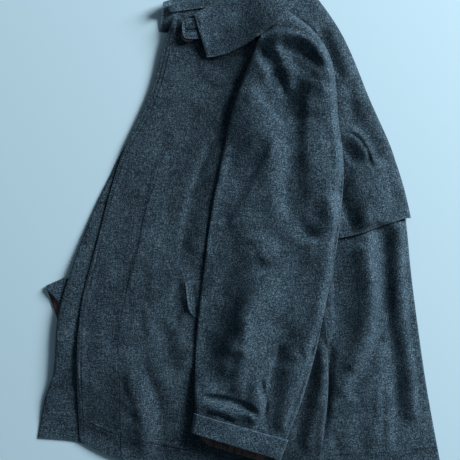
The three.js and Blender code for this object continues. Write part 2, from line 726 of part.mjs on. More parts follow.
const tab = drape(patch({
  start: tabStart,
  axis: tabAxis,
  length: tabLength,
  rows: 4,
  columns: 8,
  low: (along) => cornerCut(along, tabCorner) - tabWidth / 2,
  high: (along) => tabWidth / 2 - cornerCut(along, tabCorner),
}));
add('throat_tab', shell(tab.map((row) => row.map(upFacing))), wool(0x374a5a));

// Left sleeve, on top of the front, the flap and the cape
const leftSleeveLast = leftSleeveRows.length - 1;
const leftSleeveCurves = Object.fromEntries(['leftX', 'leftDown', 'rightX', 'rightDown', 'room'].map(
  (name) => [name, curve(leftSleeveRows.map((row, k) => ({ ...row, k })), 'k', name)],
));

function leftSleeveStation(k) {
  const at = Object.fromEntries(Object.entries(leftSleeveCurves).map(([name, read]) => [name, read(k)]));
  const left = [at.leftX, at.leftDown];
  const right = [at.rightX, at.rightDown];
  const width = Math.hypot(right[0] - left[0], right[1] - left[1]);
  return {
    left,
    right,
    room: at.room,
    way: [(left[1] - right[1]) / width, (right[0] - left[0]) / width],
    cuffed: k > leftSleeveLast - 1 - cuffEase / cuffDepth,
  };
}

const crown = (c) => (
  mix(crownEdge, 1, Math.sqrt(Math.sin(Math.PI * clamp(c, crownInset, 1 - crownInset))))
);
const leftWalls = sleeveWalls(
  endedStations(sleeveFacets.left.rows, leftSleeveLast, 1).map(leftSleeveStation),
  {
    columns: sleeveFacets.left.columns,
    inset: leftSleeveInset,
    roomAt: (station, c, p) => Math.max(
      foldRoom, station.room * crown(c) + foldHeight(sleeveFolds, p.x, p.down),
    ),
    lowerLip: leftMouthLip,
  },
);

// Sleeves end inside their cuffs, and the linings show in the mouths
for (const [name, walls] of [['left', leftWalls], ['right', rightWalls]]) {
  const mouth = walls.length - 1;
  add(`${name}_sleeve`, shell(tubeRows(walls, 0, mouth - 3, 0, cloth), { tube: true }), wool(0x3d5163));
  add(`${name}_cuff`, shell(tubeRows(walls, mouth - 4, mouth, cuffStand, cuffCloth), { tube: true }), wool(0x43586a));
  add(
    `${name}_cuff_lining`,
    shell(tubeRows(walls, mouth - 2, mouth, liningStand, liningCloth), { tube: true }),
    liningMaterial(0x2f2422),
  );
}

// Collar: the left half rolls over from stand to leaf, turns at the back and runs on below
const leftLeaf = drape(leftCollar.leaf);
const lastLeft = leftLeaf.length - 1;
const napeWay = new THREE.Vector3(0.745, 0.667, 0);

function collarRow(leaf, stand, leafOnTop) {
  const [edgePoint, rollPoint] = [leaf[0], leaf[leafColumns]];
  const rollWay = new THREE.Vector3(rollPoint.x - edgePoint.x, edgePoint.down - rollPoint.down, 0).normalize();
  const rollTurn = leafOnTop
    ? turn(stand[0], rollPoint, rollWay).reverse()
    : turn(rollPoint, stand[0], rollWay);
  return [
    ...leaf.map(leafOnTop ? upFacing : downFacing),
    ...rollTurn,
    ...stand.map(leafOnTop ? downFacing : upFacing),
  ];
}

const leftCollarWalls = leftLeaf.map((leaf, i) => collarRow(leaf, leftStand[i], true));
const rightCollarWalls = rightCollar.leaf.map((leaf, i) => collarRow(leaf, rightStand[i], false));
const backTurnRows = Array.from({ length: arcSteps - 1 }, (_, k) => {
  const angle = Math.PI * (0.5 - (k + 1) / arcSteps);
  return leftCollarWalls[lastLeft].map((above, v) => {
    const below = rightCollarWalls[0][v];
    const radius = (above.at.z - below.at.z) / 2;
    const way = napeWay.clone().multiplyScalar(Math.cos(angle)).setZ(Math.sin(angle));
    const at = above.at.clone().add(below.at).multiplyScalar(0.5).addScaledVector(way, radius);
    const out = above.out.clone().setZ(0).addScaledVector(way, above.out.z);
    return { at, out };
  });
});
add('collar', shell([...leftCollarWalls, ...backTurnRows, ...rightCollarWalls]), wool(0x3c5061));

// The origin is the middle of the coat's outline, on the surface it lies on
const box = new THREE.Box3().setFromObject(coat);
const middle = box.getCenter(new THREE.Vector3()).setZ(box.min.z);
coat.children.forEach((mesh) => mesh.geometry.translate(-middle.x, -middle.y, -middle.z));

export default coat;
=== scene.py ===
"""A wool mackintosh coat, folded flat: its cloth, lining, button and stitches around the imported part."""

import math
from collections import namedtuple

import bmesh
import bpy
import numpy as np
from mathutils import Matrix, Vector, kdtree, noise
from mathutils.bvhtree import BVHTree

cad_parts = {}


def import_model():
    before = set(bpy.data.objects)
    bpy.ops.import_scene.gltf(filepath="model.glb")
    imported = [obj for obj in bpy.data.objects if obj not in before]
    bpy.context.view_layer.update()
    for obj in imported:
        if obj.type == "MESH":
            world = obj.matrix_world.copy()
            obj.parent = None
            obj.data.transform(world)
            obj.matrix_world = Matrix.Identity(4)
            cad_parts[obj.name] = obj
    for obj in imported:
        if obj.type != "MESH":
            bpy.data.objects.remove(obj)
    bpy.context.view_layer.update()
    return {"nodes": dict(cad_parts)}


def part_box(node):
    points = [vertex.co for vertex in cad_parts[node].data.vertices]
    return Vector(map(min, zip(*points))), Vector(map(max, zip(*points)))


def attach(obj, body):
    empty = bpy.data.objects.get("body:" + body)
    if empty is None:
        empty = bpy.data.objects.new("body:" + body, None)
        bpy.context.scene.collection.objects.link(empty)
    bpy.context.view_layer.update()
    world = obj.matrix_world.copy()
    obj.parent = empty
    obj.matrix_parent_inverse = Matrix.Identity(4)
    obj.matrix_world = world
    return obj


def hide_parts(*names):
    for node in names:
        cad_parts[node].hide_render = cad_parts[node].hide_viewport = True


bl_info = {
    "name": "Folded wool mackintosh",
    "version": (1, 0, 0),
    "blender": (4, 5, 0),
    "location": "View3D > Sidebar > Coat",
    "description": "Dresses the packed coat in tweed, lining, button and topstitching",
    "category": "Object",
}

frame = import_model()
ROOT = "root"
MM = 0.001

# Places are given as x and down in millimetres, as in the part's source: down is the
# distance from the nape towards the hem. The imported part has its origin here.
ORIGIN = {"x": 16.355, "down": 427.015}
VIEW_CENTRE = (-0.01636, -0.02179)    # m, the place on the floor under the camera

# Creases and soft folds of the thick wool, traced on the photo. Each is a band in which
# the cloth climbs by "rise" mm from the band's left to its right, or drops where rise is below
# 0, across "band" mm. Beside the band it settles back over "left" and "right" mm. The line runs
# down the middle of the band, or to the right where it runs across the coat. Its places are
# pixels of the photo, right and down from its corner, and photo_place gives them in mm.
Fold = namedtuple("Fold", "rise band left right line")

PIXEL = 1.7                       # mm of the coat to one pixel of the photo
PHOTO_ZERO = (230, -34)           # the pixel at x 0 and down 0: the nape, above the photo's edge


def photo_place(place):
    """A pixel of the photo as x and down, to the nearest millimetre."""
    return tuple(round((step - zero) * PIXEL) for step, zero in zip(place, PHOTO_ZERO))


FOLDS = [
    # Left front, from the collar down
    Fold(2.5, 10, 12, 20, [(197, 48), (198, 64), (202, 76), (210, 84), (221, 86), (230, 80)]),
    Fold(6, 14, 22, 16, [(206, 63), (215, 64), (230, 60), (243, 53), (256, 46), (268, 38)]),
    Fold(-6, 17, 40, 6, [(241, 66), (234, 84), (228, 100), (222, 115), (219, 130)]),
    Fold(-3.5, 13, 30, 8, [(219, 128), (211, 142), (203, 156), (196, 170), (190, 186), (184, 204)]),
    Fold(8, 34, 10, 16, [(220, 142), (213, 163), (207, 185), (200, 207), (194, 232), (192, 258)]),
    Fold(3, 22, 25, 14, [(184, 236), (190, 256), (199, 272)]),
    Fold(1.4, 8, 12, 14, [(173, 72), (165, 86), (157, 102)]),
    Fold(1.4, 8, 12, 14, [(170, 136), (164, 152), (160, 166)]),
    Fold(1.2, 8, 12, 14, [(184, 152), (177, 166), (173, 178)]),
    Fold(2.4, 8, 10, 18, [(158, 156), (151, 183), (146, 208), (142, 230), (137, 250), (131, 272),
         (126, 292)]),
    Fold(2.6, 18, 20, 24, [(153, 262), (149, 284), (152, 308)]),
    Fold(2.2, 10, 14, 16, [(144, 308), (146, 324), (149, 342)]),
    Fold(-3, 24, 20, 20, [(151, 318), (158, 340), (164, 362), (168, 380)]),
    Fold(3.5, 24, 20, 14, [(171, 322), (175, 348), (180, 374)]),
    Fold(2.6, 7, 8, 10, [(176, 284), (178, 305), (182, 330)]),
    Fold(4, 9, 14, 8, [(182, 276), (183, 298), (188, 316)]),
    Fold(-3.5, 14, 8, 4, [(189, 276), (191, 298), (194, 318)]),
    Fold(2.6, 40, 40, 20, [(112, 345), (110, 385), (113, 430)]),
    Fold(2.4, 16, 24, 30, [(121, 318), (121, 342), (127, 362), (128, 384), (125, 398)]),
    Fold(1.9, 13, 20, 30, [(119, 394), (127, 407), (137, 416), (148, 423)]),
    Fold(-6, 30, 16, 16, [(134, 362), (141, 384), (147, 402), (151, 420), (152, 440), (151, 460)]),
    Fold(4.5, 24, 16, 24, [(155, 374), (164, 394), (168, 415), (169, 440), (167, 460)]),
    Fold(2.0, 24, 30, 20, [(104, 236), (98, 280), (95, 330), (94, 380)]),
    Fold(2.0, 30, 30, 30, [(136, 170), (124, 215), (114, 262)]),
    Fold(-2.0, 30, 30, 30, [(184, 96), (172, 132), (162, 172), (160, 215), (160, 255)]),
    # Right half of the collar
    Fold(14, 18, 4, 8, [(167, 2), (168, 16), (166, 36)]),
    # Left sleeve, from the collar down
    Fold(9, 70, 40, 14, [(256, 70), (274, 76), (294, 84), (306, 108)]),
    Fold(10, 20, 18, 16, [(267, 40), (272, 56), (278, 70), (283, 86), (284, 100)]),
    Fold(13, 30, 26, 7, [(252, 52), (268, 46), (284, 44), (298, 48), (309, 56), (317, 69), (319, 86)]),
    Fold(-2.5, 14, 10, 8, [(286, 58), (294, 68), (300, 80)]),
    Fold(11, 54, 60, 40, [(283, 66), (288, 84), (291, 102), (297, 124)]),
    Fold(14, 50, 90, 22, [(311, 64), (306, 82), (302, 102), (303, 122), (304, 146), (305, 170),
         (308, 196), (314, 218), (322, 240)]),
    Fold(2, 14, 14, 14, [(309, 78), (304, 96), (301, 116), (300, 136), (300, 156), (301, 174)]),
    Fold(6, 26, 20, 12, [(320, 84), (323, 112), (325, 140), (326, 170), (325, 200), (323, 226)]),
    Fold(-3.0, 16, 20, 14, [(253, 74), (257, 92), (266, 106), (275, 116), (279, 132)]),
    Fold(-4.5, 27, 26, 16, [(279, 134), (279, 160), (277, 186), (281, 207), (290, 226), (304, 241),
         (320, 250)]),
    Fold(4.2, 15, 24, 30, [(272, 138), (265, 156), (256, 172), (248, 189), (240, 203), (232, 216),
         (225, 230)]),
    Fold(2.0, 16, 16, 16, [(262, 66), (258, 82), (250, 100)]),
    Fold(-3.5, 20, 20, 16, [(268, 256), (250, 262), (234, 270), (220, 282), (210, 298)]),
    Fold(7.5, 27, 60, 40, [(272, 268), (254, 277), (243, 293), (236, 312), (231, 331), (223, 349),
         (212, 364)]),
    Fold(-7, 22, 20, 60, [(252, 312), (250, 338), (248, 358), (244, 378), (243, 396)]),
    Fold(-11, 84, 40, 40, [(282, 236), (275, 268), (268, 300), (260, 335), (254, 362)]),
    Fold(6, 42, 18, 16, [(222, 330), (217, 352), (209, 374)]),
    Fold(7, 30, 6, 18, [(289, 344), (281, 370), (277, 392), (275, 412), (271, 432)]),
    Fold(-8, 9, 26, 5, [(257, 374), (261, 390), (263.5, 404), (260, 416), (252, 427)]),
    Fold(4.5, 8, 10, 26, [(200, 393), (218, 394), (236, 398), (251, 404), (263, 413)]),
    Fold(-5, 8, 6, 10, [(200, 400), (218, 401), (236, 406), (249, 411), (258, 419)]),
    Fold(6.5, 8, 5, 8, [(204, 411), (216, 411), (227, 414), (238, 420)]),
    Fold(-4.5, 9, 20, 3, [(290, 20), (304, 28), (317, 43), (326, 61), (330.5, 82), (332.5, 110),
         (334.5, 135), (337.5, 152), (339.5, 164), (337, 186), (335, 210), (332, 236), (328, 262),
         (324, 290), (319, 315), (312, 340), (304, 366), (297, 390), (289, 412), (283, 430)]),
    Fold(1.8, 9, 12, 12, [(299, 342), (304, 358), (305, 372)]),
    Fold(2.0, 30, 30, 30, [(291, 262), (288, 300), (284, 338)]),
    Fold(-1.0, 20, 20, 20, [(266, 284), (262, 312), (262, 345)]),
    # Storm cape
    Fold(5.5, 20, 8, 18, [(322, 24), (330, 44), (337, 62), (346, 82)]),
    Fold(-3, 16, 18, 14, [(343, 82), (345, 102), (350, 122)]),
    Fold(7, 34, 40, 14, [(350, 94), (358, 112), (367, 130), (377, 147), (384, 162)]),
    Fold(8.5, 26, 8, 4, [(335, 145), (346, 143), (352, 147), (357, 155), (359, 166)]),
    Fold(-6, 12, 4, 26, [(340, 129), (351, 127.5), (360, 133), (368, 144), (374, 157), (379, 170)]),
    Fold(8.5, 24, 4, 24, [(343, 172), (344, 190), (348, 206), (355, 221), (359, 236)]),
    Fold(-14, 56, 24, 60, [(371, 158), (377, 182), (383, 204), (385, 228)]),
    Fold(2.5, 13, 20, 10, [(384, 166), (391, 184), (397, 204)]),
    # Back, from the cape down
    Fold(8, 46, 4, 30, [(346, 240), (346, 275), (347, 305), (348, 330), (341, 350), (334, 368)]),
    Fold(-9, 19, 30, 22, [(371, 228), (373, 262), (377, 295), (375, 322), (369, 345), (360, 363),
         (351, 380), (344, 400)]),
    Fold(18, 28, 30, 12, [(391, 220), (392, 260), (394, 300), (397, 335), (401, 365), (404, 395),
         (406, 425)]),
    Fold(6, 13, 3, 20, [(334, 342), (332, 370), (330, 395), (328, 420), (325, 438)]),
    Fold(-3, 10, 12, 10, [(380, 376), (380, 410), (379, 448)]),
    Fold(-3.5, 13, 12, 12, [(391, 378), (392, 414), (391, 452)]),
    Fold(2.5, 16, 16, 12, [(364, 416), (366, 442), (368, 460)]),
    Fold(3.5, 17, 10, 18, [(334, 424), (340, 442), (344, 460)]),
    Fold(3, 24, 20, 20, [(402, 366), (408, 400), (412, 436)]),
    Fold(2.5, 16, 14, 14, [(385, 330), (379, 352), (373, 372)]),
    # Side fold of the left front
    Fold(-4.5, 9, 18, 3, [(321, 334), (325, 356), (326, 386), (324, 415), (320, 442)]),
    Fold(6.5, 22, 8, 10, [(318, 344), (316, 374), (311, 400), (305, 425), (300, 452)]),
]
DEEPEST, HIGHEST = -14.0, 16.0    # mm, limits for all folds together
FOLD_END = 18.0                   # mm over which a fold fades out at each end of its line

# Where layers lie pressed together: "share" of the height between "base" and "top" mm goes up
# to "level" mm from the line, and less and less from there to "reach" mm. What lies above "top"
# comes down with the rest and keeps its own thickness.
Pressed = namedtuple("Pressed", "share base top level reach line")

PRESSED = [
    # Front end of the collar, with the throat tab under it
    Pressed(0.45, 37, 60, 24, 70, [(-72, 40), (-52, 95), (-44, 130)]),
    # Front edge of the left sleeve
    Pressed(0.62, 17, 60, 0, 100, [(-10, 340), (-22, 380), (-42, 460), (-52, 545), (-58, 610),
                                   (-60, 660)]),
    # Folded front edge of the coat
    Pressed(0.62, 0, 33, 52, 210, [(-110, 120), (-150, 215), (-215, 330), (-270, 470), (-290, 545),
                                   (-292, 640), (-306, 720), (-325, 840)]),
    # Hem
    Pressed(0.45, 0, 60, 8, 70, [(-326, 802), (-255, 807), (-180, 841), (-51, 868), (119, 874),
                                 (238, 869), (362, 858)]),
]

# Rows of topstitching. Each runs on one piece, smoothly through its places.
STITCH_ROWS = [
    # Front edge, twice, and fly
    {"piece": "left_front", "points": [
        (-94, 94), (-105, 130), (-114, 162), (-122, 194), (-131, 218), (-143, 248), (-158, 275),
        (-168, 289), (-185, 321), (-199, 364), (-216, 423), (-236, 512), (-253, 573), (-258, 648),
        (-258, 722), (-255, 806)]},
    {"piece": "left_front", "points": [
        (-88, 96), (-99, 131), (-108, 163), (-116, 195), (-125, 220), (-137, 250), (-152, 278),
        (-162, 293), (-179, 325), (-193, 367), (-210, 425), (-230, 513), (-247, 574), (-252, 648),
        (-252, 722), (-249, 806)]},
    {"piece": "left_front", "points": [
        (-97, 289), (-117, 330), (-129, 372), (-139, 398), (-148, 428), (-153, 457), (-160, 491),
        (-170, 525), (-180, 568), (-189, 619), (-189, 704), (-187, 806), (-185, 833)]},
    # Collar
    {"piece": "collar", "points": [(-54, 90), (-48, 125), (-44, 139), (-39, 153)]},
    {"piece": "collar", "points": [
        (-27, 158), (-7, 151), (15, 143), (34, 133), (65, 110), (87, 92), (109, 71), (122, 58)]},
    # Throat tab, flap and the short seam in the cape
    {"piece": "throat_tab", "points": [(-44, 94), (-77, 96)]},
    {"piece": "throat_tab", "points": [(-77, 97), (-75, 122)]},
    {"piece": "throat_tab", "points": [(-75, 123), (-42, 121)]},
    {"piece": "left_pocket_flap", "points": [(-71, 540), (-69, 560), (-66, 580), (-60, 592), (-50, 598)]},
    {"piece": "cape", "points": [(253, 346), (270, 343), (289, 345)]},
    # Hems
    {"piece": "cape", "points": [(188, 452), (221, 446), (255, 433), (284, 424), (298, 419)]},
    {"piece": "right_front", "points": [(-318, 762), (-290, 764), (-268, 766)]},
    {"piece": "left_front", "points": [(-240, 777), (-212, 789), (-180, 801), (-120, 814), (-60, 826)]},
    {"piece": "back", "points": [(172, 832), (238, 829), (300, 824), (352, 818)]},
]
BUTTONHOLE = [(-73, 110), (-49, 109)]
HOLE_LIP = 2.8                    # mm from the slit's middle to the stitches along it
SLIT_DEPTH = 1.6                  # mm from the cloth down to the middle of the cord in the slit
THREAD_LIFT = 0.05                # mm from the cloth up to the middle of a topstitch
SUNK = 1.0                        # mm that the button sinks into the wool under it

# Sizes in metres and turn in radians of the two buttonhole threads, for the stitch tree: the near-black
# cord in the slit, which is painted shade, and the purl.
SLIT_SHADE_CORD = {"Pitch": 0.0011, "Stitch length": 0.0040, "Thread": 0.0042, "Turn": 0.0}
PURL = {"Pitch": 0.0011, "Stitch length": 0.0026, "Thread": 0.001, "Turn": math.pi / 2}

# The cut of what shows of a piece, in metres and square metres. No piece is given one here.
Cut = namedtuple("Cut", "flat area held rests_on")

# How the solids are smoothed, cut finer and pressed.
SMOOTHING = 2                     # times that every face is smoothed and cut in four
RIM_ANGLE = math.radians(55)      # sharper edges of a wall are its rims
RIM_ROUND = 0.8 * MM              # how far a rim is rounded off
FINE_FACE = 3.2 * MM              # faces that show are cut until their sides are about this
LINE_STEP = 0.7 * MM              # between the places that stand for a line when distances are taken
FAR = 99.0                        # mm, stands for every greater distance
GROOVE_FROM = 3.0 * MM            # cloth lower than this is the underside and gets no groove
SHARE_HEIGHT = 18.0               # mm: from here up, the cloth takes a fold's whole height

# Soft lumps of thick wool: mm across, and how much each size adds of the unevenness.
Lump = namedtuple("Lump", "size height")

LUMPS = [Lump(95.0, 1.0), Lump(42.0, 0.7), Lump(19.0, 0.28)]

# The stage, in metres. The window is a soft light that faces the coat from the upper right.
FLOOR_HALF = 4.0
WINDOW_SIZE = (2.2, 2.0)
WINDOW_PLACE = (3.45, 2.45, 1.95)


def world(x, down, z=0.0):
    """A place and height on the coat, in mm, as a point in metres."""
    return Vector(((x - ORIGIN["x"]) * MM, (ORIGIN["down"] - down) * MM, z * MM))


def to_linear(code):
    """An sRGB hex colour as linear red, green, blue and alpha."""
    parts = [int(code[k:k + 2], 16) / 255 for k in (1, 3, 5)]
    return tuple(c / 12.92 if c <= 0.04045 else ((c + 0.055) / 1.055) ** 2.4 for c in parts) + (1.0,)


def srgb(code):
    return to_linear(code)[:3]


class CoatSettings(bpy.types.PropertyGroup):
    """Sizes and colours of the coat's finishes."""

    speckle: bpy.props.FloatProperty(
        name="Speckle", description="Size of one light or dark fleck of the tweed",
        default=0.0021, min=0.0005, max=0.02, unit="LENGTH")
    nap: bpy.props.FloatProperty(
        name="Nap", description="Height of the brushed nap on the wool",
        default=0.0009, min=0.0, max=0.004, unit="LENGTH")
    unevenness: bpy.props.FloatProperty(
        name="Unevenness", description="Height of the soft lumps of thick wool that lies loose",
        default=0.0012, min=0.0, max=0.01, unit="LENGTH")
    wool_dark: bpy.props.FloatVectorProperty(
        name="Dark fibre", description="Colour of the darkest fibres",
        subtype="COLOR", size=3, min=0.0, max=1.0, default=srgb("#0d1419"))
    wool_middle: bpy.props.FloatVectorProperty(
        name="Slate fibre", description="Colour of most fibres",
        subtype="COLOR", size=3, min=0.0, max=1.0, default=srgb("#263742"))
    wool_light: bpy.props.FloatVectorProperty(
        name="Light fibre", description="Colour of the pale fibres",
        subtype="COLOR", size=3, min=0.0, max=1.0, default=srgb("#5b707d"))
    lining: bpy.props.FloatVectorProperty(
        name="Lining", description="Colour of the twill lining in the cuffs",
        subtype="COLOR", size=3, min=0.0, max=1.0, default=srgb("#4a3a3a"))
    button: bpy.props.FloatVectorProperty(
        name="Button", description="Colour of the polished button",
        subtype="COLOR", size=3, min=0.0, max=1.0, default=srgb("#1d1816"))
    stitch_pitch: bpy.props.FloatProperty(
        name="Stitch pitch", description="Distance from one stitch to the next",
        default=0.0042, min=0.001, max=0.02, unit="LENGTH")
    stitch_length: bpy.props.FloatProperty(
        name="Stitch length", description="Length of thread that shows in one stitch",
        default=0.0032, min=0.0005, max=0.02, unit="LENGTH")
    thread: bpy.props.FloatProperty(
        name="Thread", description="Thickness of the topstitching thread",
        default=0.0009, min=0.0002, max=0.003, unit="LENGTH")
    floor: bpy.props.FloatVectorProperty(
        name="Floor", description="Colour of the plain surface under the coat",
        subtype="COLOR", size=3, min=0.0, max=1.0, default=srgb("#bbd7e3"))
    lamp_power: bpy.props.FloatProperty(
        name="Window light", description="Power of the soft light from the upper right, in watts",
        default=470.0, min=0.0, max=5000.0)
    room_light: bpy.props.FloatProperty(
        name="Room light", description="Strength of the even light from all round",
        default=0.15, min=0.0, max=5.0)
    view_width: bpy.props.FloatProperty(
        name="View width", description="Width of the floor that the camera takes in",
        default=0.782, min=0.1, max=5.0, unit="LENGTH")
    camera_height: bpy.props.FloatProperty(
        name="Camera height", description="Height of the camera above the floor",
        default=3.2, min=0.5, max=20.0, unit="LENGTH")


def settings():
    return bpy.context.scene.coat_settings


def add_node(tree, kind, inputs=None, **fields):
    """Adds a node. Inputs are values, or sockets to link from; fields are its settings."""
    node = tree.nodes.new(kind)
    for name, value in fields.items():
        setattr(node, name, value)
    for name, value in (inputs or {}).items():
        socket = node.inputs[name]
        if isinstance(value, bpy.types.NodeSocket):
            tree.links.new(value, socket)
        else:
            socket.default_value = value
    return node


def new_material(name):
    made = bpy.data.materials.new(name)
    made.use_nodes = True
    made.node_tree.nodes.clear()
    return made, made.node_tree


# The tweed's pattern: real sizes in metres, then how much each part of it adds to light and dark.
YARN = 0.0019
YARN_STRETCH = 0.16
CLOUD = 0.034
FLECK_SHARE, YARN_SHARE, CLOUD_SHARE = 0.6, 0.13, 0.14
DARK_AT, MIDDLE_AT, LIGHT_AT = 0.38, 0.50, 0.64
# Paler rims, for wear and a painted highlight where the fuzzy rims catch the light: width in mm, and how
# far they go towards the pale fibres.
PALE_RIM_WIDTH, PALE_RIM = 3.0, 0.22
# Beside a row of stitches, widths in mm and heights in metres.
GROOVE_WIDTH, GROOVE_DEPTH = 2.6, 0.0014
PUCKER_WIDTH, PUCKER_HEIGHT, PUCKER_LENGTH = 9.0, 0.0022, 0.011


def tweed(name, grain_turn=0.0, painted_light_scale=1.0):
    """Brushed wool tweed: pale and dark fibres spun together, so the eye sees flecks and no yarn."""
    s = settings()
    made, tree = new_material(name)
    place = add_node(tree, "ShaderNodeTexCoord").outputs["Object"]
    turned = add_node(tree, "ShaderNodeMapping", {
        "Vector": place, "Rotation": (0.0, 0.0, grain_turn)}).outputs[0]
    flecks = add_node(tree, "ShaderNodeTexNoise", {
        "Vector": turned, "Scale": 1.0 / s.speckle, "Detail": 2.0, "Roughness": 0.7}).outputs["Fac"]
    # Yarn shows only as faint streaks about 12 mm long, along and across the cloth.
    streaks = []
    for stretch in ((1.0, YARN_STRETCH, 1.0), (YARN_STRETCH, 1.0, 1.0)):
        along = add_node(tree, "ShaderNodeMapping", {"Vector": turned, "Scale": stretch}).outputs[0]
        streaks.append(add_node(tree, "ShaderNodeTexNoise", {
            "Vector": along, "Scale": 1.0 / YARN, "Detail": 1.0}).outputs["Fac"])
    yarn = add_node(tree, "ShaderNodeMath", {0: streaks[0], 1: streaks[1]}, operation="ADD").outputs[0]
    # Carding leaves clouds of paler and darker wool, up to 35 mm across.
    clouds = add_node(tree, "ShaderNodeTexNoise", {
        "Vector": place, "Scale": 1.0 / CLOUD, "Detail": 3.0, "Roughness": 0.6}).outputs["Fac"]
    mixed = add_node(tree, "ShaderNodeMath", {0: flecks, 1: FLECK_SHARE}, operation="MULTIPLY").outputs[0]
    for layer, share in ((yarn, YARN_SHARE), (clouds, CLOUD_SHARE)):
        mixed = add_node(tree, "ShaderNodeMath", {
            0: layer, 1: share, 2: mixed}, operation="MULTIPLY_ADD").outputs[0]
    ramp = add_node(tree, "ShaderNodeValToRGB", {"Fac": mixed})
    stops = ramp.color_ramp.elements
    stops[0].position, stops[0].color = DARK_AT, (*s.wool_dark, 1.0)
    stops[1].position, stops[1].color = LIGHT_AT, (*s.wool_light, 1.0)
    middle = stops.new(MIDDLE_AT)
    middle.color = (*s.wool_middle, 1.0)
    # Rims are a little paler: wear, and a painted highlight where the fuzzy rims catch the light.
    edge = add_node(tree, "ShaderNodeAttribute", attribute_name="edge_mm").outputs["Fac"]
    rim_highlight_and_wear = add_node(tree, "ShaderNodeMapRange", {
        "Value": edge, "From Min": 0.0, "From Max": PALE_RIM_WIDTH, "To Min": PALE_RIM, "To Max": 0.0}).outputs[0]
    cloth = add_node(tree, "ShaderNodeMix", {
        "Factor": rim_highlight_and_wear, "A": ramp.outputs["Color"], "B": (*s.wool_light, 1.0)}, data_type="RGBA")
    # Painted light and shade: the whole colour is scaled paler or darker for each piece, as the light falls
    # on it.
    shade = add_node(tree, "ShaderNodeVectorMath", {
        0: cloth.outputs["Result"], "Scale": painted_light_scale}, operation="SCALE").outputs[0]
    # A row of stitches pulls the nap down into a groove, and puckers the cloth beside it.
    row = add_node(tree, "ShaderNodeAttribute", attribute_name="stitch_mm").outputs["Fac"]
    groove = add_node(tree, "ShaderNodeMapRange", {
        "Value": row, "From Min": 0.0, "From Max": GROOVE_WIDTH, "To Min": -GROOVE_DEPTH,
        "To Max": 0.0}, interpolation_type="SMOOTHSTEP").outputs[0]
    puckers = add_node(tree, "ShaderNodeTexNoise", {
        "Vector": turned, "Scale": 1.0 / PUCKER_LENGTH, "Detail": 1.0}).outputs["Fac"]
    near = add_node(tree, "ShaderNodeMapRange", {
        "Value": row, "From Min": 0.0, "From Max": PUCKER_WIDTH, "To Min": PUCKER_HEIGHT,
        "To Max": 0.0}).outputs[0]
    pulled = add_node(tree, "ShaderNodeMath", {
        0: puckers, 1: near, 2: groove}, operation="MULTIPLY_ADD").outputs[0]
    # Light flecks stand up as nap. The pattern spans about half of 0 to 1, so it is doubled.
    height = add_node(tree, "ShaderNodeMath", {
        0: mixed, 1: s.nap * 2.0, 2: pulled}, operation="MULTIPLY_ADD").outputs[0]
    bump = add_node(tree, "ShaderNodeBump", {"Height": height, "Strength": 0.8, "Distance": 1.0}).outputs[0]
    skin = add_node(tree, "ShaderNodeBsdfPrincipled", {
        "Base Color": shade, "Normal": bump, "Roughness": 0.95,
        "Specular IOR Level": 0.15, "Sheen Weight": 0.12, "Sheen Roughness": 0.45,
        "Sheen Tint": to_linear("#ddebf9")})
    add_node(tree, "ShaderNodeOutputMaterial", {"Surface": skin.outputs[0]})
    return made


RIB_SCALE = 155.0       # at this scale the wave pattern's bands lie 3 mm apart
RIB_HEIGHT = 0.0004     # m
CRINKLE = 0.007         # m from one crease to the next
CRINKLE_SLANT = 0.5
CRINKLE_RISE = 14.0     # times the height of a rib


def twill_lining():
    """Woven viscose twill: smooth and slightly glossy, with fine slanting ribs."""
    s = settings()
    made, tree = new_material("Brown twill lining")
    place = add_node(tree, "ShaderNodeTexCoord").outputs["Object"]
    # Real ribs are 0.4 mm apart. They are drawn 3 mm apart so that they show.
    ribs = add_node(tree, "ShaderNodeTexWave", {
        "Vector": place, "Scale": RIB_SCALE, "Distortion": 0.4}, bands_direction="DIAGONAL").outputs["Fac"]
    # Soft lining crinkles into short slanting creases, 7 mm apart and some 20 mm long.
    slanted = add_node(tree, "ShaderNodeMapping", {
        "Vector": place, "Rotation": (0.0, 0.0, CRINKLE_SLANT), "Scale": (1.0, 0.35, 1.0)}).outputs[0]
    creases = add_node(tree, "ShaderNodeTexNoise", {
        "Vector": slanted, "Scale": 1.0 / CRINKLE, "Detail": 2.0}).outputs["Fac"]
    height = add_node(tree, "ShaderNodeMath", {
        0: creases, 1: CRINKLE_RISE, 2: ribs}, operation="MULTIPLY_ADD").outputs[0]
    bump = add_node(tree, "ShaderNodeBump", {
        "Height": height, "Strength": 0.7, "Distance": RIB_HEIGHT}).outputs[0]
    # The creases are also painted paler and darker: a painted highlight and shade along the crinkles, which
    # lie in the cuffs' shade.
    crease_light_and_shade = add_node(tree, "ShaderNodeMapRange", {
        "Value": creases, "From Min": 0.38, "From Max": 0.62, "To Min": 0.4, "To Max": 1.8}).outputs[0]
    shade = add_node(tree, "ShaderNodeVectorMath", {
        0: s.lining, "Scale": crease_light_and_shade}, operation="SCALE").outputs[0]
    skin = add_node(tree, "ShaderNodeBsdfPrincipled", {
        "Base Color": shade, "Normal": bump, "Roughness": 0.5, "Specular IOR Level": 0.4,
        "Sheen Weight": 0.1})
    add_node(tree, "ShaderNodeOutputMaterial", {"Surface": skin.outputs[0]})
    return made


HORN_STREAK = 0.004     # m across one pale streak


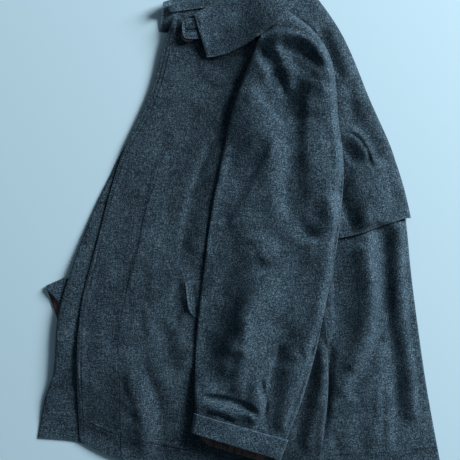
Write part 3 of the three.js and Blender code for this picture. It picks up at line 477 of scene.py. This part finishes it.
def horn_resin():
    """Cast polyester made to look like dark horn: tumbled to a gloss, with faint paler streaks."""
    s = settings()
    made, tree = new_material("Polished horn resin")
    place = add_node(tree, "ShaderNodeTexCoord").outputs["Object"]
    grain = add_node(tree, "ShaderNodeMapping", {"Vector": place, "Scale": (1.0, 0.25, 1.0)}).outputs[0]
    streaks = add_node(tree, "ShaderNodeTexNoise", {
        "Vector": grain, "Scale": 1.0 / HORN_STREAK, "Detail": 3.0}).outputs["Fac"]
    ramp = add_node(tree, "ShaderNodeValToRGB", {"Fac": streaks})
    stops = ramp.color_ramp.elements
    stops[0].position, stops[0].color = 0.45, (*s.button, 1.0)
    stops[1].position, stops[1].color = 0.75, to_linear("#33241e")
    skin = add_node(tree, "ShaderNodeBsdfPrincipled", {
        "Base Color": ramp.outputs["Color"], "Roughness": 0.18, "IOR": 1.56, "Coat Weight": 0.4})
    add_node(tree, "ShaderNodeOutputMaterial", {"Surface": skin.outputs[0]})
    return made


PLY = 0.001             # m, one turn of the thread's two plies


def twisted_thread(name, dark, pale):
    """Spun polyester thread: matt, its two plies a little darker and paler than one another."""
    made, tree = new_material(name)
    place = add_node(tree, "ShaderNodeTexCoord").outputs["Object"]
    twist = add_node(tree, "ShaderNodeTexNoise", {
        "Vector": place, "Scale": 1.0 / PLY, "Detail": 1.0}).outputs["Fac"]
    ramp = add_node(tree, "ShaderNodeValToRGB", {"Fac": twist})
    stops = ramp.color_ramp.elements
    stops[0].position, stops[0].color = 0.4, to_linear(dark)
    stops[1].position, stops[1].color = 0.65, to_linear(pale)
    skin = add_node(tree, "ShaderNodeBsdfPrincipled", {
        "Base Color": ramp.outputs["Color"], "Roughness": 0.9, "Specular IOR Level": 0.08})
    add_node(tree, "ShaderNodeOutputMaterial", {"Surface": skin.outputs[0]})
    return made


ROLLER = 0.004          # m across one bump of the roller's texture


def painted_board():
    """Matt painted board: an even pale blue with the faintest roller texture."""
    s = settings()
    made, tree = new_material("Pale blue painted board")
    place = add_node(tree, "ShaderNodeTexCoord").outputs["Object"]
    roller = add_node(tree, "ShaderNodeTexNoise", {
        "Vector": place, "Scale": 1.0 / ROLLER, "Detail": 2.0}).outputs["Fac"]
    bump = add_node(tree, "ShaderNodeBump", {
        "Height": roller, "Strength": 0.1, "Distance": 0.0002}).outputs[0]
    skin = add_node(tree, "ShaderNodeBsdfPrincipled", {
        "Base Color": (*s.floor, 1.0), "Normal": bump, "Roughness": 0.85, "Specular IOR Level": 0.2})
    add_node(tree, "ShaderNodeOutputMaterial", {"Surface": skin.outputs[0]})
    return made


def link(obj):
    bpy.context.scene.collection.objects.link(obj)
    return obj


def solids_tree():
    """All the CAD solids as one search tree, to tell what lies on top."""
    points, faces = [], []
    for node in frame["nodes"].values():
        start = len(points)
        points.extend(v.co.copy() for v in node.data.vertices)
        faces.extend([start + k for k in p.vertices] for p in node.data.polygons)
    return BVHTree.FromPolygons(points, faces)


SOLIDS = solids_tree()


def shows(point):
    """True if nothing of the coat lies more than 1.5 mm above a place on its cloth."""
    return SOLIDS.ray_cast(point + Vector((0, 0, 1.5 * MM)), Vector((0, 0, 1)))[0] is None


def rim_edges(bm):
    """The sharp edges where a wall of cloth ends."""
    return [e for e in bm.edges if len(e.link_faces) == 2 and e.calc_face_angle(0.0) > RIM_ANGLE]


def subdivided(node, name):
    """A CAD node's loose triangles merged, joined to quads and smoothed, with its rims kept."""
    bm = bmesh.new()
    bm.from_mesh(frame["nodes"][node].data)
    bmesh.ops.remove_doubles(bm, verts=bm.verts, dist=0.002 * MM)
    bmesh.ops.join_triangles(
        bm, faces=bm.faces, angle_face_threshold=math.radians(60),
        angle_shape_threshold=math.radians(80))
    crease = bm.edges.layers.float.new("crease_edge")
    for edge in rim_edges(bm):
        edge[crease] = 1.0
    rough = bpy.data.meshes.new(name + "_rough")
    bm.to_mesh(rough)
    bm.free()
    holder = link(bpy.data.objects.new(name + "_rough", rough))
    smooth = holder.modifiers.new("smooth", "SUBSURF")
    smooth.levels = smooth.render_levels = SMOOTHING
    done = holder.evaluated_get(bpy.context.evaluated_depsgraph_get())
    fine = bpy.data.meshes.new_from_object(done)
    bpy.data.objects.remove(holder)
    bpy.data.meshes.remove(rough)
    fine.name = name
    return fine


def line_tree(lines):
    """A search tree of places along lines, each a list of points."""
    places = []
    for line in lines:
        for a, b in zip(line, line[1:]):
            count = max(1, int((b - a).length / LINE_STEP))
            places.extend(a.lerp(b, k / count) for k in range(count))
        places.append(line[-1])
    tree = kdtree.KDTree(len(places))
    for k, p in enumerate(places):
        tree.insert(p, k)
    tree.balance()
    return tree


def mm_to(tree, place):
    """Distance in mm from a place to the nearest one in a search tree, up to FAR."""
    return min(tree.find(place)[2] * 1000.0, FAR)


def eased(t):
    """0 to 1, level at both ends."""
    t = np.clip(t, 0, 1)
    return t * t * (3 - 2 * t)


def beside(line, x, down, reach):
    """Which places lie within reach of a line, how far to its right, and how far from its ends."""
    points = np.array(smooth_line(line, 9.0))
    low, high = points.min(axis=0) - reach, points.max(axis=0) + reach
    near = np.flatnonzero((x > low[0]) & (x < high[0]) & (down > low[1]) & (down < high[1]))
    px, pd = x[near], down[near]
    away = np.full(len(near), np.inf)
    right = np.zeros(len(near))
    along = np.zeros(len(near))
    length = 0.0
    for a, b in zip(points, points[1:]):
        run = b - a
        size = float(np.hypot(*run))
        t = np.clip(((px - a[0]) * run[0] + (pd - a[1]) * run[1]) / size ** 2, 0, 1)
        off_x, off_down = px - a[0] - t * run[0], pd - a[1] - t * run[1]
        gap = np.hypot(off_x, off_down)
        closer = gap < away
        away = np.where(closer, gap, away)
        right = np.where(closer, (off_x * run[1] - off_down * run[0]) / size, right)
        along = np.where(closer, length + t * size, along)
        length += size
    ends = np.minimum(along, length - along)
    return near, np.copysign(away, right), ends


def fold_heights(x, down):
    """Height in mm that the creases and folds add at each place."""
    total = np.zeros_like(x)
    for fold in FOLDS:
        half = fold.band / 2
        line = [photo_place(p) for p in fold.line]
        near, right, ends = beside(line, x, down, half + max(fold.left, fold.right))
        climb = 2 * eased((right / half + 1) / 2) - 1
        settled = eased(1 - (right - half) / fold.right) * eased(1 - (-right - half) / fold.left)
        total[near] += fold.rise / 2 * climb * settled * eased(ends / FOLD_END)
    return np.clip(total, DEEPEST, HIGHEST)


def pressed_heights(x, down, z):
    """Heights in mm with the layers pressed together near the lines of PRESSED."""
    for row in PRESSED:
        near, right, _ = beside(row.line, x, down, row.reach)
        fade = (np.abs(right) - row.level) / (row.reach - row.level)
        share = row.share * eased(1 - fade)
        z[near] -= share * np.clip(z[near] - row.base, 0, row.top - row.base)
    return z


def lump_heights(points):
    """Height in mm that the soft lumps of loose wool add at each point."""
    heights = np.zeros(len(points))
    for k, lump in enumerate(LUMPS):
        scale = 1000.0 / lump.size
        # Each size of lump reads another part of the noise.
        shift = Vector((7.3 * k, 3.1 * k, 1.7 * k))
        places = [Vector((p[0] * scale, p[1] * scale, 0.0)) + shift for p in points]
        heights += lump.height * np.array([noise.noise(p) for p in places])
    return heights * settings().unevenness * 1000.0


def press_folds(points):
    """Moves points up or down by the folds and lumps. Every layer takes the same height, less near
    the floor, so layers that lie on one another stay clear."""
    x = points[:, 0] * 1000.0 + ORIGIN["x"]
    down = ORIGIN["down"] - points[:, 1] * 1000.0
    z = pressed_heights(x, down, points[:, 2] * 1000.0)
    share = np.clip(z / SHARE_HEIGHT, 0, 1)
    moved = points.copy()
    moved[:, 2] = (z + share * (fold_heights(x, down) + lump_heights(points))) * MM
    return moved


def cut_shown_faces(bm):
    """Cuts the faces that show in halves, up to twice, so that they can take folds."""
    for _ in range(2):
        chosen = [
            f for f in bm.faces
            if f.calc_area() > FINE_FACE ** 2 and f.normal.z > -0.2 and shows(f.calc_center_median())
        ]
        edges = {e for f in chosen for e in f.edges if e.calc_length() > FINE_FACE * 1.2}
        if not edges:
            return
        bmesh.ops.subdivide_edges(bm, edges=list(edges), cuts=1, use_grid_fill=True)


def stitched_lines(piece):
    return [row["points"] for row in STITCH_ROWS if row["piece"] == piece]


def mark_distances(mesh, points, rim_tree, rows):
    """Stores for the wool's material how far each point is from a rim and from a row of stitches."""
    edge = mesh.attributes.new("edge_mm", "FLOAT", "POINT")
    edge.data.foreach_set("value", [mm_to(rim_tree, p) if rim_tree else FAR for p in points])
    row_tree = line_tree([[world(*p) for p in smooth_line(r)] for r in rows]) if rows else None
    row = mesh.attributes.new("stitch_mm", "FLOAT", "POINT")
    row.data.foreach_set("value", [
        mm_to(row_tree, (p[0], p[1], 0.0)) if row_tree and p[2] > GROOVE_FROM else FAR for p in points])


def dress(node, material):
    """Makes a finished cloth piece from a CAD node, which it then stands for."""
    name = "cloth_" + node
    mesh = subdivided(node, name)
    bm = bmesh.new()
    bm.from_mesh(mesh)
    rims = rim_edges(bm)
    rim_tree = None
    if rims:
        rim_tree = line_tree([[e.verts[0].co.copy(), e.verts[1].co.copy()] for e in rims])
        bmesh.ops.bevel(
            bm, geom=rims, offset=RIM_ROUND, segments=2, profile=0.6, affect="EDGES", clamp_overlap=True)
    cut_shown_faces(bm)
    bm.to_mesh(mesh)
    bm.free()
    points = np.empty(len(mesh.vertices) * 3)
    mesh.vertices.foreach_get("co", points)
    points = points.reshape(-1, 3)
    mark_distances(mesh, points, rim_tree, stitched_lines(node))
    mesh.vertices.foreach_set("co", press_folds(points).ravel())
    mesh.update()
    mesh.shade_smooth()
    mesh.materials.clear()
    mesh.materials.append(material)
    piece = link(bpy.data.objects.new(name, mesh))
    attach(piece, ROOT)
    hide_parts(node)
    return piece


def smooth_line(places, step=4.0):
    """A curve through places that bends smoothly at each, as places about a step apart."""
    p = [np.array(q, float) for q in places]
    if len(p) < 3:
        ends = [p[0], p[-1]]
        count = max(1, int(np.hypot(*(ends[1] - ends[0])) / step))
        return [tuple(ends[0] + (ends[1] - ends[0]) * k / count) for k in range(count + 1)]
    made = []
    for k in range(len(p) - 1):
        a, b = p[max(k - 1, 0)], p[min(k + 2, len(p) - 1)]
        start, end = p[k], p[k + 1]
        count = max(1, int(np.hypot(*(end - start)) / step))
        for i in range(count):
            t = i / count
            made.append(tuple(0.5 * (
                2 * start + (end - a) * t + (2 * a - 5 * start + 4 * end - b) * t * t
                + (3 * start - a - 3 * end + b) * t ** 3)))
    made.append(tuple(p[-1]))
    return made


def laid_line(piece, places, lift):
    """A line of places dropped on a piece from high above: points that are lift mm over its cloth."""
    tree = BVHTree.FromObject(piece, bpy.context.evaluated_depsgraph_get())
    points = []
    for x, down in smooth_line(places):
        hit = tree.ray_cast(world(x, down, 200.0), Vector((0, 0, -1)))[0]
        if hit is not None:
            points.append(hit + Vector((0, 0, lift * MM)))
    return points


def stitch_tree():
    """A row of stitches along a curve: beads of thread, one for each pitch."""
    tree = bpy.data.node_groups.new("Stitch row", "GeometryNodeTree")
    face = tree.interface
    face.new_socket("Geometry", in_out="INPUT", socket_type="NodeSocketGeometry")
    for name in ("Pitch", "Stitch length", "Thread", "Turn"):
        face.new_socket(name, in_out="INPUT", socket_type="NodeSocketFloat")
    face.new_socket("Material", in_out="INPUT", socket_type="NodeSocketMaterial")
    face.new_socket("Geometry", in_out="OUTPUT", socket_type="NodeSocketGeometry")
    given = add_node(tree, "NodeGroupInput").outputs
    spaced = add_node(tree, "GeometryNodeResampleCurve", {
        "Curve": given["Geometry"], "Length": given["Pitch"]}, mode="LENGTH").outputs[0]
    bead = add_node(tree, "GeometryNodeMeshUVSphere", {
        "Segments": 6, "Rings": 5, "Radius": 0.5}).outputs["Mesh"]
    along = add_node(tree, "GeometryNodeInputTangent").outputs[0]
    facing = add_node(tree, "FunctionNodeAlignRotationToVector", {"Vector": along}, axis="X").outputs[0]
    turn = add_node(tree, "FunctionNodeAxisAngleToRotation", {
        "Axis": (0.0, 0.0, 1.0), "Angle": given["Turn"]}).outputs[0]
    turned = add_node(tree, "FunctionNodeRotateRotation", {
        "Rotation": facing, "Rotate By": turn}, rotation_space="LOCAL").outputs[0]
    size = add_node(tree, "ShaderNodeCombineXYZ", {
        "X": given["Stitch length"], "Y": given["Thread"], "Z": given["Thread"]}).outputs[0]
    sewn = add_node(tree, "GeometryNodeInstanceOnPoints", {
        "Points": spaced, "Instance": bead, "Rotation": turned, "Scale": size}).outputs[0]
    solid = add_node(tree, "GeometryNodeRealizeInstances", {"Geometry": sewn}).outputs[0]
    finished = add_node(tree, "GeometryNodeSetMaterial", {
        "Geometry": solid, "Material": given["Material"]}).outputs[0]
    add_node(tree, "NodeGroupOutput", {"Geometry": finished})
    return tree


def sew(name, lines, material, sizes):
    """Runs the stitch tree along lines of points and keeps the stitches as a plain mesh."""
    curve = bpy.data.curves.new(name, "CURVE")
    curve.dimensions = "3D"
    for points in lines:
        spline = curve.splines.new("POLY")
        spline.points.add(len(points) - 1)
        for target, point in zip(spline.points, points):
            target.co = (*point, 1.0)
    holder = link(bpy.data.objects.new(name + "_line", curve))
    tree = bpy.data.node_groups.get("Stitch row") or stitch_tree()
    sewing = holder.modifiers.new("sew", "NODES")
    sewing.node_group = tree
    values = dict(sizes, Material=material)
    for item in tree.interface.items_tree:
        if item.in_out == "INPUT" and item.name in values:
            sewing[item.identifier] = values[item.name]
    holder.update_tag()
    done = holder.evaluated_get(bpy.context.evaluated_depsgraph_get())
    mesh = bpy.data.meshes.new_from_object(done)
    bpy.data.objects.remove(holder)
    mesh.name = name
    mesh.materials.clear()
    mesh.materials.append(material)
    mesh.shade_smooth()
    made = link(bpy.data.objects.new(name, mesh))
    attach(made, ROOT)


def turned_button(centre, radius, tall):
    """A button turned about its middle, where centre is the middle of its underside."""
    bevel = radius * 0.1
    # Half its section: the underside, the rounded edge, the raised rim and the sunk middle.
    profile = [
        (0.0, 0.0), (radius - bevel, 0.0), (radius - 0.3 * bevel, 0.3 * bevel), (radius, bevel),
        (radius, tall - bevel), (radius - 0.3 * bevel, tall - 0.3 * bevel), (radius - bevel, tall),
        (radius * 0.78, tall), (radius * 0.7, tall * 0.86), (radius * 0.6, tall * 0.72),
        (0.0, tall * 0.7),
    ]
    bm = bmesh.new()
    rim = [bm.verts.new((r, 0.0, z)) for r, z in profile]
    outline = [bm.edges.new(pair) for pair in zip(rim, rim[1:])]
    bmesh.ops.spin(
        bm, geom=rim + outline, cent=(0, 0, 0), axis=(0, 0, 1), angle=math.tau, steps=64,
        use_merge=True)
    bmesh.ops.remove_doubles(bm, verts=bm.verts, dist=0.005 * MM)
    bmesh.ops.recalc_face_normals(bm, faces=bm.faces)
    bmesh.ops.translate(bm, verts=bm.verts, vec=centre)
    mesh = bpy.data.meshes.new("horn_button")
    bm.to_mesh(mesh)
    bm.free()
    return mesh


def wool_material(name="Brushed wool tweed", turn=0.0, painted_light_scale=1.0):
    """The tweed of one piece: its grain turned by radians, its colour scaled paler or darker as painted
    light and shade.
    """
    return bpy.data.materials.get(name) or tweed(name, turn, painted_light_scale)


def lay(node, material):
    """Dresses a piece of cloth."""
    piece = dress(node, material)


class COAT_OT_body(bpy.types.Operator):
    """Lay the right front, the back and the left front"""
    bl_idname = "coat.body"
    bl_label = "Fronts and back"

    def execute(self, context):
        lay("right_front", wool_material())
        # The back's tweed is scaled paler and the left front's darker: painted light and shade.
        lay("back", wool_material("Brushed wool tweed, back, painted paler", 0.0, 1.12))
        lay("left_front", wool_material("Brushed wool tweed, front, painted darker", 0.0, 0.9))
        return {"FINISHED"}


class COAT_OT_flap(bpy.types.Operator):
    """Lay the left pocket flap on the front"""
    bl_idname = "coat.flap"
    bl_label = "Pocket flap"

    def execute(self, context):
        lay("left_pocket_flap", wool_material("Brushed wool tweed, flap", 0.11))
        return {"FINISHED"}


class COAT_OT_cape(bpy.types.Operator):
    """Lay the storm cape over the upper back"""
    bl_idname = "coat.cape"
    bl_label = "Storm cape"

    def execute(self, context):
        lay("cape", wool_material())
        return {"FINISHED"}


class COAT_OT_sleeves(bpy.types.Operator):
    """Lay both sleeves"""
    bl_idname = "coat.sleeves"
    bl_label = "Sleeves"

    def execute(self, context):
        lay("right_sleeve", wool_material())
        # The left sleeve's tweed is scaled paler: painted light.
        lay("left_sleeve", wool_material("Brushed wool tweed, sleeve, painted paler", 0.12, 1.16))
        return {"FINISHED"}


class COAT_OT_cuffs(bpy.types.Operator):
    """Turn the cuffs back and line their mouths"""
    bl_idname = "coat.cuffs"
    bl_label = "Cuffs and linings"

    def execute(self, context):
        brown = twill_lining()
        # The cuffs' tweed is scaled paler: painted light.
        wool = wool_material("Brushed wool tweed, cuff, painted paler", -0.3, 1.35)
        for hand in ("left", "right"):
            lay(hand + "_cuff", wool)
            lay(hand + "_cuff_lining", brown)
        return {"FINISHED"}


class COAT_OT_collar(bpy.types.Operator):
    """Lay the collar and the throat tab"""
    bl_idname = "coat.collar"
    bl_label = "Collar and throat tab"

    def execute(self, context):
        # The collar's and tab's tweed is scaled paler: painted light.
        wool = wool_material("Brushed wool tweed, collar, painted paler", 0.6, 1.18)
        lay("collar", wool)
        lay("throat_tab", wool)
        return {"FINISHED"}


class COAT_OT_button(bpy.types.Operator):
    """Turn the throat button on its lathe"""
    bl_idname = "coat.button"
    bl_label = "Throat button"

    def execute(self, context):
        low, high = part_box("throat_button")
        radius = (high.x - low.x) / 2
        centre = Vector(((low.x + high.x) / 2, (low.y + high.y) / 2, low.z))
        mesh = turned_button(centre, radius, high.z - low.z)
        # The button moves with the cloth under it, and tilts as that does, but isn't bent.
        sides = ((1, 0), (-1, 0), (0, 1), (0, -1))
        around = [centre + Vector((radius * x, radius * y, 0)) for x, y in sides]
        moved = press_folds(np.array(around))[:, 2] - centre.z
        tilt_x, tilt_y = (moved[0] - moved[1]) / 2, (moved[2] - moved[3]) / 2
        points = np.array([v.co for v in mesh.vertices])
        away = (points - np.array(centre)) / radius
        points[:, 2] += moved.mean() - SUNK * MM + away[:, 0] * tilt_x + away[:, 1] * tilt_y
        mesh.vertices.foreach_set("co", points.ravel())
        mesh.shade_smooth()
        mesh.materials.append(horn_resin())
        button = link(bpy.data.objects.new("horn_button", mesh))
        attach(button, ROOT)
        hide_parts("throat_button")
        return {"FINISHED"}


class COAT_OT_stitches(bpy.types.Operator):
    """Sew the rows of topstitching and the buttonhole"""
    bl_idname = "coat.stitches"
    bl_label = "Topstitching"

    def execute(self, context):
        s = settings()
        thread = twisted_thread("Topstitch thread", "#1c262e", "#3c4a56")
        lines = []
        for row in STITCH_ROWS:
            cloth = bpy.data.objects["cloth_" + row["piece"]]
            lines.append(laid_line(cloth, row["points"], THREAD_LIFT))
        sew("topstitching", lines, thread, {
            "Pitch": s.stitch_pitch, "Stitch length": s.stitch_length, "Thread": s.thread, "Turn": 0.0})
        # The slit is a near-black cord sunk below the cloth: painted shade in the gap of the slit, between
        # two rows of purl stitches.
        tab = bpy.data.objects["cloth_throat_tab"]
        slit = laid_line(tab, BUTTONHOLE, -SLIT_DEPTH)
        slit_shade = twisted_thread("Buttonhole gimp", "#020304", "#07090b")
        sew("buttonhole_slit", [slit], slit_shade, SLIT_SHADE_CORD)
        lips = [laid_line(tab, [(x, down + side * HOLE_LIP) for x, down in BUTTONHOLE], 0.0)
                for side in (-1, 1)]
        sew("buttonhole_stitches", lips, thread, PURL)
        return {"FINISHED"}


class COAT_OT_stage(bpy.types.Operator):
    """Make the floor, the soft light from the upper right and the camera above"""
    bl_idname = "coat.stage"
    bl_label = "Floor, light and camera"

    def execute(self, context):
        s = settings()
        corners = [(FLOOR_HALF * x, FLOOR_HALF * y, 0) for x, y in ((-1, -1), (1, -1), (1, 1), (-1, 1))]
        mesh = bpy.data.meshes.new("floor")
        mesh.from_pydata(corners, [], [(0, 1, 2, 3)])
        mesh.materials.append(painted_board())
        floor = link(bpy.data.objects.new("floor", mesh))

        world_light = bpy.data.worlds.new("Room light")
        world_light.use_nodes = True
        back = world_light.node_tree.nodes["Background"]
        back.inputs["Color"].default_value = to_linear("#c9e2f2")
        back.inputs["Strength"].default_value = s.room_light
        context.scene.world = world_light

        lamp = bpy.data.lights.new("Window", "AREA")
        lamp.shape = "RECTANGLE"
        lamp.size, lamp.size_y = WINDOW_SIZE
        lamp.energy = s.lamp_power
        lamp.color = srgb("#f6fbff")
        window = link(bpy.data.objects.new("Window", lamp))
        window.location = WINDOW_PLACE
        window.rotation_mode = "QUATERNION"
        window.rotation_quaternion = (-window.location).to_track_quat("-Z", "Y")

        camera = bpy.data.cameras.new("Camera")
        camera.sensor_width = 36.0
        camera.lens = camera.sensor_width * s.camera_height / s.view_width
        camera.clip_end = 50.0
        eye = link(bpy.data.objects.new("Camera", camera))
        eye.location = (VIEW_CENTRE[0], VIEW_CENTRE[1], s.camera_height)
        context.scene.camera = eye
        context.scene.view_settings.view_transform = "Standard"
        return {"FINISHED"}


class COAT_PT_panel(bpy.types.Panel):
    """Lists the steps that dress the coat, in order."""
    bl_idname = "COAT_PT_panel"
    bl_label = "Folded mackintosh"
    bl_space_type = "VIEW_3D"
    bl_region_type = "UI"
    bl_category = "Coat"

    def draw(self, context):
        for step in STEPS:
            self.layout.operator(step.bl_idname)
        values = context.scene.coat_settings
        for name in values.bl_rna.properties.keys():
            if name not in ("rna_type", "name"):
                self.layout.prop(values, name)


STEPS = (
    COAT_OT_stage, COAT_OT_body, COAT_OT_flap, COAT_OT_cape, COAT_OT_sleeves, COAT_OT_cuffs,
    COAT_OT_collar, COAT_OT_button, COAT_OT_stitches,
)
CLASSES = (CoatSettings, *STEPS, COAT_PT_panel)


def register():
    for made in CLASSES:
        bpy.utils.register_class(made)
    bpy.types.Scene.coat_settings = bpy.props.PointerProperty(type=CoatSettings)


def unregister():
    del bpy.types.Scene.coat_settings
    for made in reversed(CLASSES):
        bpy.utils.unregister_class(made)


def main():
    register()
    for step in STEPS:
        area, name = step.bl_idname.split(".")
        getattr(getattr(bpy.ops, area), name)()


if __name__ == "__main__":
    main()
